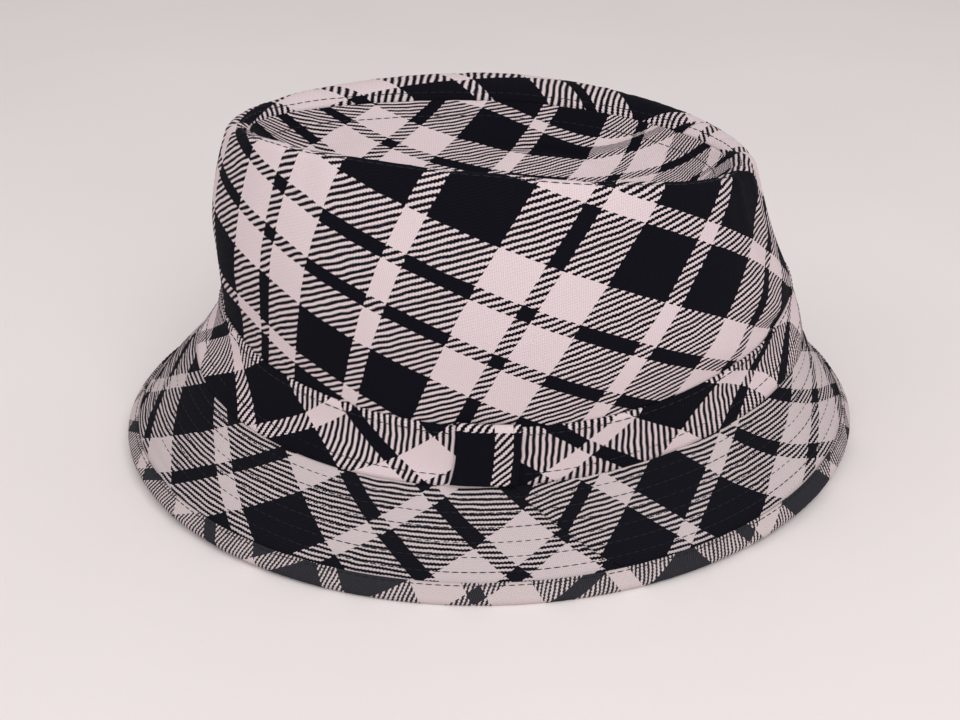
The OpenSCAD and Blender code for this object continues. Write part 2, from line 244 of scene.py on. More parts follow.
class HatSurfaces:
    """Points of the hat's four surfaces, with the relief of soft cloth, in millimetres."""

    def __init__(self, form: HatForm) -> None:
        """Keeps the rings, which every point needs."""
        self.form = form
        self.edge, self.root, self.waist = form.edge, form.root, form.waist
        self.rim, self.bulge = form.rim, form.bulge
        self.dent_low = Vector((form.top_shift, -form.top_side_shift - form.dent_offset,
                                self.rim.height - form.dent_depth))
        self.kept: Dict[Tuple[str, float], Tuple[Vector, ...]] = {}

    def keep(self, name: str, angle: float, make: Callable[[], Tuple]) -> Tuple:
        """Works a set of points out once for each angle."""
        key = (name, angle)
        if key not in self.kept:
            self.kept[key] = make()
        return self.kept[key]

    # The crown's side: v runs 0 to 3 up the wall, then 3 to 4 round the rolled rim

    def wall(self, angle: float, v: float) -> Vector:
        """The wall through its four rings."""
        rings = (self.root, self.waist, self.bulge, self.rim)
        root, waist, bulge, rim = self.keep(
            "wall", angle, lambda: tuple(ring.point(angle) for ring in rings))
        return (root * ((1 - v) * (2 - v) * (3 - v) / 6) + waist * (v * (2 - v) * (3 - v) / 2)
                + bulge * (v * (v - 1) * (3 - v) / 2) + rim * (v * (v - 1) * (v - 2) / 6))

    def outward(self, angle: float) -> Vector:
        """Level direction away from the crown at the rim."""
        c, s = turn(angle)
        return Vector((self.form.top_wid * c, self.form.top_len * s, 0)).normalized()

    def roll_radius(self, angle: float) -> float:
        """Radius of the rim's roll, soft on the wearer's right and sharp on the left."""
        return self.form.rim_fold_r + self.form.rim_soft_r * ((1 + turn(angle)[1]) / 2) ** 2

    def roll_dir(self, angle: float, around: float) -> Vector:
        """Direction out of the roll at an angle round it."""
        c, s = turn(around)
        return self.outward(angle) * c + Vector((0, 0, s))

    def roll(self, angle: float, around: float) -> Vector:
        """The rolled rim."""
        def make() -> Tuple[Vector, Vector, float]:
            """Middle of the roll, its outward direction and its radius."""
            r = self.roll_radius(angle)
            middle = self.rim.point(angle) - self.roll_dir(angle, self.form.roll_from) * r
            return middle, self.outward(angle), r

        middle, outward, r = self.keep("roll", angle, make)
        c, s = turn(around)
        return middle + (outward * c + Vector((0, 0, s))) * r

    def side_plain(self, angle: float, v: float) -> Vector:
        """The crown's side without relief."""
        if v <= 3:
            return self.wall(angle, v)
        around = self.form.roll_from + (self.form.tip_seam_at - self.form.roll_from) * (v - 3)
        return self.roll(angle, around)

    def side_relief(self, angle: float, v: float) -> float:
        """How far soft folds lift the crown's side off its plain surface."""
        place = self.side_plain(angle, min(v, 3.0))
        slow = noise.noise(place / 34 + Vector((3.1, 0.4, 7.7)))
        medium = noise.noise(place / 13 + Vector((9.2, 5.0, 1.3)))
        free = smooth_step(1.0, 1.7, v)
        near_rim = smooth_step(2.3, 3.0, v) * (1 - 0.6 * smooth_step(3.5, 4.0, v))
        turned = (angle - 90) % 360 + 90
        lift = free * (0.95 * slow + 0.28 * medium) * (1 - 0.8 * bump_at(turned, 357, 34))
        pucker = noise.noise(Vector((angle / 3.2, v * 0.6, 2.0)))
        lift += 0.28 * near_rim * pucker
        fan = bump_at(turned, 344, 12) * smooth_step(1.9, 2.9, v) * (1 - smooth_step(3.3, 3.9, v))
        lift += 0.45 * fan * math.sin(math.radians(turned * 26 + 90 * v))
        drag = bump_at(turned, 328, 16) * bump_at(v, 1.55, 0.75)
        lift += 0.75 * drag * math.sin(math.radians(turned * 13 + 230 * v))
        over_band = smooth_step(0.7, 1.35, v) * (1 - smooth_step(2.0, 2.8, v))
        lift += 1.8 * bump_at(turned, 358, 26) * over_band
        pull = bump_at(turned, 205, 22) * bump_at(v, 1.5, 0.8)
        lift += 0.5 * pull * math.sin(math.radians(turned * 11 - 210 * v))
        return lift

    def normal(self, surface: Point, x: float, y: float, dx: float, dy: float) -> Vector:
        """Outward normal of a surface whose second parameter rises to the left of its first."""
        across = surface(x + dx, y) - surface(x - dx, y)
        along = surface(x, y + dy) - surface(x, y - dy)
        return across.cross(along).normalized()

    def side(self, angle: float, v: float, out: float = 0.0) -> Vector:
        """The crown's side, with its relief and lifted off by out."""
        top = min(max(v, 0.02), 3.98)
        n = self.normal(self.side_plain, angle, top, 0.4, 0.02)
        return self.side_plain(angle, v) + n * (self.side_relief(angle, v) + out)

    # The tip: s runs from 0 at its seam to 1 at the dent's lowest point

    def tip_plain(self, angle: float, s: float) -> Vector:
        """The dented tip without relief."""
        f = self.form

        def make() -> Tuple[Vector, Vector, Vector]:
            """The line's points at the seam, at the shoulder and on the dent's floor."""
            around = f.tip_seam_at + math.degrees(f.ply_gap / 2 / self.roll_radius(angle))
            seam = self.roll(angle, around)
            shoulder = seam + self.roll_dir(angle, around + 90) * f.dent_shoulder
            inwards = Vector((seam.x - self.dent_low.x, seam.y - self.dent_low.y, 0))
            return seam, shoulder, self.dent_low + inwards * f.floor_share

        seam, shoulder, level = self.keep("tip", angle, make)
        q = 1 - s
        return (seam * q ** 3 + shoulder * (3 * s * q * q) + level * (3 * s * s * q)
                + self.dent_low * s ** 3)

    def tip_relief(self, angle: float, s: float) -> float:
        """How far soft folds lift the tip off its plain surface."""
        place = self.tip_plain(angle, s)
        slow = noise.noise(place / 26 + Vector((1.7, 8.1, 0.2)))
        medium = noise.noise(place / 10 + Vector((4.4, 2.6, 6.0)))
        inside = smooth_step(0.0, 0.2, s)
        pucker = noise.noise(Vector((angle / 3.2, 9.0, 2.0)))
        crease = 0.0
        for middle, width, depth, along in self.form.creases:
            crease += depth * bump_at((angle - middle + 180) % 360, 180, width) * bump_at(
                s, along, 0.035)
        fan = bump_at((angle + 180) % 360, 158, 16) + 0.7 * bump_at(angle, 196, 16)
        crumple = fan * bump_at(s, 0.22, 0.14) * math.sin(math.radians(angle * 22 + 300 * s))
        return (inside * (1.2 * slow + 0.45 * medium - crease + 0.9 * crumple)
                + 0.25 * (1 - inside) * pucker)

    def tip(self, angle: float, s: float, out: float = 0.0) -> Vector:
        """The tip, with its relief and lifted off by out."""
        inner = min(max(s, 0.01), 0.985)
        n = self.normal(self.tip_plain, angle, inner, 0.4, 0.01)
        if s > 0.985:
            n = n.lerp(Vector((0, 0, 1)), (s - 0.985) / 0.015)
        return self.tip_plain(angle, s) + n * (self.tip_relief(angle, s) + out)

    # The brim: t runs from 0 at the crown to 1 at the edge

    def brim_plain(self, angle: float, t: float) -> Vector:
        """The brim without relief."""
        root, edge = self.keep("brim", angle,
                               lambda: (self.root.point(angle), self.edge.point(angle)))
        return root.lerp(edge, t)

    def brim_length(self, angle: float) -> float:
        """Width of the brim along its slope."""
        return (self.edge.point(angle) - self.root.point(angle)).length

    def brim_normal(self, angle: float) -> Vector:
        """Upward normal of the brim."""
        def make() -> Tuple[Vector]:
            """The normal as a set of one."""
            across = self.brim_plain(angle + 0.5, 0.5) - self.brim_plain(angle - 0.5, 0.5)
            return (across.cross(self.root.point(angle) - self.edge.point(angle)).normalized(),)

        return self.keep("brim normal", angle, make)[0]

    def brim_start(self, angle: float, out: float) -> float:
        """Share of the brim's width at which a layer clears the crown's wall."""
        n = self.brim_normal(angle)
        return (self.form.ply_gap - out * math.hypot(n.x, n.y)) / (n.z * self.brim_length(angle))

    def brim_relief(self, angle: float, t: float) -> float:
        """How far the cloth between the rows of stitching puffs up, with soft waves."""
        row = t * self.brim_length(angle) / self.form.row_pitch
        puff = abs(math.sin(math.pi * row)) ** 0.7 - 0.5
        place = self.brim_plain(angle, t)
        slow = noise.noise(place / 21 + Vector((6.6, 2.2, 5.1)))
        fine = noise.noise(place / 5 + Vector((0.6, 4.2, 1.1)))
        ends = smooth_step(0.0, 0.12, t) * (1 - smooth_step(0.8, 0.95, t))
        return ends * (0.36 * puff + 0.40 * slow + 0.12 * fine)

    def brim_wave(self, angle: float, t: float) -> float:
        """How far the whole brim waves up and down between its seam and its edge."""
        place = self.brim_plain(angle, t)
        wave = noise.noise(place / 30 + Vector((2.6, 7.2, 0.1)))
        near_end = 1 + 0.8 * bump_at((angle + 180) % 360, 170, 34)
        return 1.3 * wave * near_end * math.sin(math.pi * min(max(t, 0.0), 1.0)) ** 1.3

    def brim(self, angle: float, t: float, out: float = 0.0, relief: bool = True) -> Vector:
        """The brim, lifted off by out, with its relief if wanted."""
        lift = self.brim_wave(angle, t) + (self.brim_relief(angle, t) if relief else 0.0)
        return self.brim_plain(angle, t) + self.brim_normal(angle) * (lift + out)

    def seam_angle(self, start: float, t: float) -> float:
        """Angle that keeps pace with the brim's slanting seams."""
        return self.form.seam_at + self.form.seam_run * t + start


# ---------------------------------------------------------------------------------------------
# How the plaid lies on each piece
# ---------------------------------------------------------------------------------------------


@dataclass(frozen=True)
class Sett:
    """Widths of the plaid's stripes in millimetres, from the middle of a repeat outwards."""

    wide_white: float = 12.7
    thin_black: float = 4.4
    wide_black: float = 18.9
    thin_white: float = 5.6

    @property
    def repeats(self) -> Tuple[float, float]:
        """Whole repeats of the steep and the shallow stripes."""
        pair = 2 * (self.wide_white + self.wide_black) + self.thin_white
        return pair + self.thin_black, pair + 2 * self.thin_black + self.wide_white


@dataclass(frozen=True)
class ClothLay:
    """How a flat pattern piece was laid on the plaid cloth.

    steep and shallow are the angles of the two sets of stripes to the piece's level line,
    and steep_at and shallow_at move the stripes across themselves, in millimetres.
    """

    steep: float
    shallow: float
    steep_at: float
    shallow_at: float
    bow: float = 0.0
    bow_span: float = 200.0

    def place(self, x: float, y: float) -> Tuple[float, float]:
        """Cloth coordinates in metres of a point on the flat piece in millimetres."""
        cs, ss = turn(self.steep)
        ch, sh = turn(self.shallow)
        sag = self.bow * (1 - math.cos(math.pi * min(abs(x) / self.bow_span, 2)))
        p = x * ss - y * cs + self.steep_at
        q = x * sh + y * ch + self.shallow_at - sag
        return p * MM, q * MM


class Development:
    """Lays the hat's curved surfaces out flat."""

    def __init__(self, surfaces: HatSurfaces) -> None:
        """Measures the lengths round the crown and the brim once."""
        self.surfaces = surfaces
        self.around_wall = self._lengths(lambda a: surfaces.wall(a, 1.5))
        self.around_brim = self._lengths(lambda a: surfaces.brim_plain(a, 0.5))
        self.around_edge = self._lengths(lambda a: surfaces.brim_plain(a, 1.0))
        self.half_brim = surfaces.brim_length(270) / 2
        self.steps = 40
        self.runs: Dict[Tuple[str, float], List[float]] = {}

    @staticmethod
    def _lengths(line: Callable[[float], Vector]) -> List[float]:
        """Running length of a closed line at each whole degree, from 0."""
        total, out = 0.0, [0.0]
        for degree in range(360):
            total += (line(degree + 1) - line(degree)).length
            out.append(total)
        return out

    @staticmethod
    def _at(lengths: List[float], angle: float) -> float:
        """Length from the wearer's left side, 270 degrees, to an angle."""
        turns, rest = divmod(angle, 360)
        low = int(rest)
        part = lengths[low] + (lengths[low + 1] - lengths[low]) * (rest - low)
        return turns * lengths[-1] + part - lengths[270]

    def run_along(self, name: str, line: Callable[[float], Vector], key: float, share: float
                  ) -> float:
        """Length along a line from its start to a share of it, measured once for each key."""
        if (name, key) not in self.runs:
            run, last = [0.0], line(0.0)
            for i in range(1, self.steps + 1):
                point = line(i / self.steps)
                run.append(run[-1] + (point - last).length)
                last = point
            self.runs[name, key] = run + run[-1:]
        run = self.runs[name, key]
        low = int(share * self.steps)
        return run[low] + (run[low + 1] - run[low]) * (share * self.steps - low)

    def crown(self, angle: float, height: float, cone: float, level: float) -> Tuple[float, float]:
        """Flat place of a point on the crown's side, cut as part of a ring of radius cone."""
        turn_by = self._at(self.around_wall, angle) / cone
        rho = cone - (height - level)
        return rho * math.sin(turn_by), cone - rho * math.cos(turn_by)

    def brim(self, angle: float, width: float, cone: float, middle: float) -> Tuple[float, float]:
        """Flat place of a point on the brim, cut as part of a ring of radius cone."""
        run = self._at(self.around_brim, angle) - self._at(self.around_brim, middle)
        turn_by = run / (cone + self.half_brim)
        rho = cone + width
        return rho * math.sin(turn_by), cone - rho * math.cos(turn_by)

    def band_run(self, angle: float) -> float:
        """Length round the crown from the wearer's left side to an angle."""
        return self._at(self.around_wall, angle)

    def edge_run(self, angle: float) -> float:
        """Length round the brim's edge from the wearer's left side to an angle."""
        return self._at(self.around_edge, angle)


# ---------------------------------------------------------------------------------------------
# Shader expressions
# ---------------------------------------------------------------------------------------------

Value = Union["Wire", float]
Colour = Tuple[float, float, float]


class Wire:
    """A shader value that takes part in Python expressions."""

    def __init__(self, graph: "Graph", socket: bpy.types.NodeSocket) -> None:
        """Wraps an output socket of a graph."""
        self.graph = graph
        self.socket = socket

    def _math(self, operation: str, *values: Value) -> "Wire":
        """Adds one Math node."""
        return self.graph.node("ShaderNodeMath", {"operation": operation},
                               dict(enumerate(values)))

    def __add__(self, other: Value) -> "Wire":
        """Sum."""
        return self._math("ADD", self, other)

    __radd__ = __add__

    def __sub__(self, other: Value) -> "Wire":
        """Difference."""
        return self._math("SUBTRACT", self, other)

    def __rsub__(self, other: Value) -> "Wire":
        """Difference from a number."""
        return self._math("SUBTRACT", other, self)

    def __mul__(self, other: Value) -> "Wire":
        """Product."""
        return self._math("MULTIPLY", self, other)

    __rmul__ = __mul__

    def __truediv__(self, other: Value) -> "Wire":
        """Quotient."""
        return self._math("DIVIDE", self, other)

    def __lt__(self, other: Value) -> "Wire":
        """1 where this is less."""
        return self._math("LESS_THAN", self, other)

    def __gt__(self, other: Value) -> "Wire":
        """1 where this is greater."""
        return self._math("GREATER_THAN", self, other)

    def __abs__(self) -> "Wire":
        """Size without sign."""
        return self._math("ABSOLUTE", self)

    def __pow__(self, other: Value) -> "Wire":
        """Power."""
        return self._math("POWER", self, other)

    def sine(self) -> "Wire":
        """Sine, in radians."""
        return self._math("SINE", self)

    def fraction(self) -> "Wire":
        """Part after the point."""
        return self._math("FRACT", self)

    def clipped(self) -> "Wire":
        """Held between 0 and 1."""
        return self.graph.node("ShaderNodeClamp", {}, {0: self, 1: 0.0, 2: 1.0})


class Graph:
    """The node tree of one material."""

    def __init__(self, name: str, gloss: float = 0.2) -> None:
        """Starts an empty material with a level of gloss."""
        self.gloss = gloss
        self.material = bpy.data.materials.new(name)
        self.material.use_nodes = True
        self.tree = self.material.node_tree
        self.tree.nodes.clear()

    def node(self, kind: str, settings: Dict[str, object],
             inputs: Dict[Union[int, str], object], output: Union[int, str] = 0) -> Wire:
        """Adds a node.

        Args:
            kind: the node's type.
            settings: its settings, set before its sockets.
            inputs: values or wires by socket name or number.
            output: the wanted output.

        Returns:
            The output as a wire.
        """
        made = self.tree.nodes.new(kind)
        for name, value in settings.items():
            setattr(made, name, value)
        for key, value in inputs.items():
            if isinstance(value, Wire):
                self.tree.links.new(value.socket, made.inputs[key])
            else:
                made.inputs[key].default_value = value
        return Wire(self, made.outputs[output])

    def noise(self, vector: Wire, scale: float, detail: float = 2.0, rough: float = 0.5) -> Wire:
        """Soft noise from 0 to 1."""
        return self.node("ShaderNodeTexNoise", {},
                         {"Vector": vector, "Scale": scale, "Detail": detail,
                          "Roughness": rough})

    def mix(self, share: Value, low: Union[Wire, Colour], high: Union[Wire, Colour]) -> Wire:
        """Blends two colours."""
        sides = [c if isinstance(c, Wire) else (*c, 1.0) for c in (low, high)]
        return self.node("ShaderNodeMix", {"data_type": "RGBA"},
                         {0: share, 6: sides[0], 7: sides[1]}, 2)

    def parts(self, vector: Wire) -> Tuple[Wire, Wire]:
        """First two parts of a vector."""
        made = self.tree.nodes.new("ShaderNodeSeparateXYZ")
        self.tree.links.new(vector.socket, made.inputs[0])
        return Wire(self, made.outputs[0]), Wire(self, made.outputs[1])

    def cloth_map(self) -> Wire:
        """The piece's cloth coordinates."""
        return self.node("ShaderNodeUVMap", {"uv_map": CLOTH_MAP}, {})

    def place(self) -> Wire:
        """The object's own coordinates."""
        return self.node("ShaderNodeTexCoord", {}, {}, "Object")

    def bump(self, height: Wire, strength: float, distance: float) -> Wire:
        """Turns a height into a normal."""
        return self.node("ShaderNodeBump", {},
                         {"Strength": strength, "Distance": distance, "Height": height})

    def finish(self, colour: Wire, rough: Value, normal: Wire, sheen: float,
               sheen_tint: Colour) -> bpy.types.Material:
        """Ends the material in a cloth shader."""
        shader = self.node("ShaderNodeBsdfPrincipled", {}, {
            "Base Color": colour, "Roughness": rough, "Normal": normal,
            "Sheen Weight": sheen, "Sheen Roughness": 0.45, "Sheen Tint": (*sheen_tint, 1.0),
            "Specular IOR Level": self.gloss,
        })
        made = self.tree.nodes.new("ShaderNodeOutputMaterial")
        self.tree.links.new(shader.socket, made.inputs["Surface"])
        return self.material


# ---------------------------------------------------------------------------------------------
# Finishes
# ---------------------------------------------------------------------------------------------


@dataclass(frozen=True)
class PlaidTwill:
    """Black and off-white plaid in a coarse twill; sizes in millimetres."""

    name: str = "plaid_twill"
    sett: Sett = Sett()
    white: Colour = (0.80, 0.67, 0.69)
    black: Colour = (0.0036, 0.0036, 0.0072)
    twill: float = 2.54
    spread: float = 0.035
    yarn: float = 0.66
    rib: float = 0.58
    # lint sets both the real lint specks on the black and a painted highlight along the twill's
    # ridges.
    lint: float = 0.012

    def build(self) -> bpy.types.Material:
        """Makes the material."""
        g = Graph(self.name, gloss=0.04)
        cloth = g.cloth_map()
        p, q = g.parts(cloth)
        wander = g.noise(cloth, 160.0, 2.0) - 0.5
        fuzz = g.noise(cloth, 1500.0, 2.0) - 0.5
        p = p * 1000.0 + wander * 0.9 + fuzz * 0.22
        q = q * 1000.0 - wander * 0.7 + fuzz * 0.22
        steep_black = self._steep(p)
        shallow_black = self._shallow(q)
        yarn_p = (p * (2 * math.pi / self.yarn)).sine()
        yarn_q = (q * (2 * math.pi / self.yarn)).sine()
        line = (p - q) / self.twill
        across = (line + yarn_p * 0.06 + yarn_q * 0.06).fraction()
        steep_on_top = across < 0.5
        black = ((across < 0.5 + self.spread) * steep_black
                 + (across > 0.5 - self.spread) * shallow_black).clipped()

        ridge = abs((line * (2 * math.pi)).sine()) ** 0.6
        float_bump = steep_on_top * yarn_q + (1.0 - steep_on_top) * yarn_p
        rib = ((p * 0.915 + q * 0.52) * (2 * math.pi / self.rib)).sine() * 0.5 + 0.5
        height = ridge * 0.6 + float_bump * 0.18 + fuzz * 0.5 + rib * 0.35
        normal = g.bump(height, 0.55, 0.00022)

        slow = g.noise(cloth, 45.0, 3.0)
        specks = g.noise(cloth, 2600.0, 3.0, 0.7)
        # Painted shade: the white darkens in the valleys of the ribs and of the twill's ridges.
        rib_shaded_white = g.mix((ridge * 0.2 + rib * 0.8).clipped(), tuple(c * 0.78 for c in self.white),
                      self.white)
        white = g.mix((slow * 0.5).clipped(), rib_shaded_white, tuple(c * 0.93 for c in self.white))
        lint = ((specks - 0.62) * 8.0).clipped() * (0.5 + slow)
        # The black is lightened by lint specks, which are real, and along the twill's ridges, which
        # is a painted highlight.
        black_with_lint_and_ridge_highlight = g.mix((lint * self.lint * 3.0 + ridge * self.lint * 0.5).clipped(),
                     self.black, (0.42, 0.40, 0.42))
        colour = g.mix(black, white, black_with_lint_and_ridge_highlight)
        rough = 0.86 + slow * 0.08
        return g.finish(colour, rough, normal, 0.01, (0.9, 0.88, 0.95))

    def _steep(self, p: Wire) -> Wire:
        """1 where a steep stripe is black."""
        s = self.sett
        first = s.thin_black / 2
        second = first + s.wide_white
        third = second + s.wide_black
        half = third + s.thin_white / 2
        away = abs((p / (2 * half) + 0.5).fraction() - 0.5) * (2 * half)
        return (away < first) + (away > second) * (away < third)

    def _shallow(self, q: Wire) -> Wire:
        """1 where a shallow stripe is black."""
        s = self.sett
        first = s.wide_white / 2
        second = first + s.thin_black
        third = second + s.wide_white
        fourth = third + s.wide_black
        half = fourth + s.thin_white / 2
        away = abs((q / (2 * half) + 0.5).fraction() - 0.5) * (2 * half)
        return (away > first) * (away < second) + (away > third) * (away < fourth)


@dataclass(frozen=True)
class PlainCloth:
    """A one-colour cloth with ribs along its cloth map and a mottled surface."""

    name: str
    colour: Colour
    second: Colour
    rib: float
    bump: float
    rough: float
    sheen: float

    def build(self) -> bpy.types.Material:
        """Makes the material."""
        g = Graph(self.name)
        cloth = g.cloth_map()
        x, y = g.parts(cloth)
        mottle = g.noise(cloth, 300.0, 3.0)
        fine = g.noise(cloth, 2500.0, 2.0)
        ribs = abs((x * (1000.0 * math.pi / self.rib)).sine())
        weave = abs((y * (1000.0 * math.pi / (self.rib * 0.5))).sine())
        height = ribs * 0.6 + weave * 0.25 + fine * 0.3
        colour = g.mix((mottle * 0.7 + ribs * 0.3).clipped(), self.second, self.colour)
        return g.finish(colour, self.rough + mottle * 0.06, g.bump(height, self.bump, 0.00015),
                        self.sheen, (1.0, 1.0, 1.0))


@dataclass(frozen=True)
class SewingThread:
    """Dark spun thread with a fine twist."""

    name: str = "spun_thread"
    colour: Colour = (0.0045, 0.0045, 0.0080)

    def build(self) -> bpy.types.Material:
        """Makes the material."""
        g = Graph(self.name)
        place = g.place()
        x, y = g.parts(place)
        twist = ((x + y) * 9000.0).sine() * 0.5 + 0.5
        fine = g.noise(place, 3000.0, 2.0)
        # Painted highlight: the thread is lighter on the crests of its twist.
        colour = g.mix((twist * 0.6 + fine * 0.4).clipped(), self.colour,
                       tuple(c * 3.2 for c in self.colour))
        return g.finish(colour, 0.62 + fine * 0.1, g.bump(twist, 0.4, 0.00006), 0.05,
                        (1.0, 1.0, 1.0))


# ---------------------------------------------------------------------------------------------
# Building cloth
# ---------------------------------------------------------------------------------------------


def finish_mesh(name: str, bm: bmesh.types.BMesh, material: bpy.types.Material
                ) -> bpy.types.Object:
    """Turns a bmesh into a smooth object with one material."""
    mesh = bpy.data.meshes.new(name)
    bm.to_mesh(mesh)
    bm.free()
    mesh.materials.append(material)
    mesh.polygons.foreach_set("use_smooth", [True] * len(mesh.polygons))
    piece = bpy.data.objects.new(name, mesh)
    bpy.context.scene.collection.objects.link(piece)
    return piece


def cloth_shell(name: str, columns: int, rows: int, surface: Point, lay: ClothPoint,
                thickness: float, material: bpy.types.Material) -> bpy.types.Object:
    """A sheet of cloth shaped over a surface and given its thickness.

    Args:
        name: the piece's name.
        columns: steps of the grid along its first parameter.
        rows: steps of the grid along its second parameter.
        surface: outer surface in millimetres, for parameters from 0 to 1.
        lay: cloth coordinates in metres, for the same parameters.
        thickness: the cloth's thickness in millimetres, inwards.
        material: the finish.

    Returns:
        The new object.
    """
    bm = bmesh.new()
    bmesh.ops.create_grid(bm, x_segments=columns, y_segments=rows, size=0.5)
    uv = bm.loops.layers.uv.new(CLOTH_MAP)
    bm.verts.ensure_lookup_table()
    flat = [(v.co.x + 0.5, v.co.y + 0.5) for v in bm.verts]
    laid = [lay(x, y) for x, y in flat]
    for face in bm.faces:
        for loop in face.loops:
            loop[uv].uv = laid[loop.vert.index]
    for vert, (x, y) in zip(bm.verts, flat):
        vert.co = surface(x, y) * MM
    bmesh.ops.remove_doubles(bm, verts=bm.verts[:], dist=2e-6)
    piece = finish_mesh(name, bm, material)
    solid = piece.modifiers.new("thickness", "SOLIDIFY")
    solid.thickness = thickness * MM
    solid.offset = -1.0
    return piece


class Stitches:
    """Separate stitches of one thread, gathered in one mesh."""

    def __init__(self, length: float, gap: float, thick: float) -> None:
        """Makes the stitch that is repeated, with its sizes in millimetres."""
        self.length, self.gap, self.thick = length, gap, thick
        self.bm = bmesh.new()
        self.one = bpy.data.meshes.new("stitch")
        shape = bmesh.new()
        bmesh.ops.create_uvsphere(shape, u_segments=6, v_segments=5, radius=MM)
        shape.to_mesh(self.one)
        self.rest = [v.co.copy() for v in shape.verts]
        shape.free()

    def row(self, path: Sequence[Vector], normals: Sequence[Vector]) -> None:
        """Adds a row of stitches along points on the cloth, with its outward directions."""
        travelled, due = 0.0, 0.0
        for i in range(len(path) - 1):
            step = path[i + 1] - path[i]
            span = step.length
            while due + self.length / 2 <= travelled + span:
                share = max((due + self.length / 2 - travelled) / span, 0.0)
                up = normals[i].lerp(normals[i + 1], share).normalized()
                self._add(path[i] + step * share, step, up)
                due += self.length + self.gap
            travelled += span

    def _add(self, middle: Vector, step: Vector, up: Vector) -> None:
        """Adds one stitch, sunk a little into the cloth."""
        along = (step - up * step.dot(up)).normalized()
        half, thin = self.length / 2, self.thick / 2
        axes = Matrix((along * half, up.cross(along) * thin, up * thin)).transposed()
        spot = (middle + up * thin * 0.25) * MM
        for vert, place in zip(self.one.vertices, self.rest):
            vert.co = axes @ place + spot
        self.bm.from_mesh(self.one)

    def finish(self, name: str, material: bpy.types.Material) -> bpy.types.Object:
        """Ends the row's mesh as one object."""
        bpy.data.meshes.remove(self.one)
        return finish_mesh(name, self.bm, material)


class Piece(Enum):
    """The record's material slots."""

    PLAID = "plaid_cloth"
    STIFFENING = "stiffening"
    LINING = "lining"
    SWEATBAND = "sweatband"
    THREAD = "thread"


def join_up(piece: bpy.types.Object, slot: Piece, *nodes: str) -> None:
    """Rides a piece on the hat and lets it stand for its CAD nodes."""
    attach(piece, "root")
    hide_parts(*nodes)
    LOG.info("%s stands for %s", piece.name, ", ".join(nodes))


@dataclass
class Finishes:
    """The hat's materials, made once."""

    plaid: bpy.types.Material = field(default_factory=lambda: PlaidTwill().build())
    band_plaid: bpy.types.Material = field(default_factory=lambda: PlaidTwill(
        name="plaid_twill_band", twill=2.46).build())
    brim_plaid: bpy.types.Material = field(default_factory=lambda: PlaidTwill(
        name="plaid_twill_brim", twill=2.34, white=(0.64, 0.55, 0.56),
        black=(0.0042, 0.0043, 0.0078), lint=0.02).build())
    # The binding's larger lint also strengthens the painted highlight on its twill ridges.
    binding_plaid: bpy.types.Material = field(default_factory=lambda: PlaidTwill(
        name="plaid_twill_binding", twill=1.9, black=(0.014, 0.014, 0.019), lint=0.10,
        white=(0.66, 0.56, 0.56)).build())
    stiffening: bpy.types.Material = field(default_factory=lambda: PlainCloth(
        "fused_stiffening", (0.80, 0.78, 0.73), (0.70, 0.68, 0.63), 0.9, 0.3, 0.9, 0.0).build())
    lining: bpy.types.Material = field(default_factory=lambda: PlainCloth(
        "satin_lining", (0.012, 0.012, 0.020), (0.020, 0.020, 0.032), 0.35, 0.3, 0.42,
        0.1).build())
    sweatband: bpy.types.Material = field(default_factory=lambda: PlainCloth(
        "ribbed_sweatband", (0.016, 0.016, 0.024), (0.028, 0.028, 0.038), 1.1, 0.7, 0.75,
        0.2).build())
    thread: bpy.types.Material = field(default_factory=lambda: SewingThread().build())


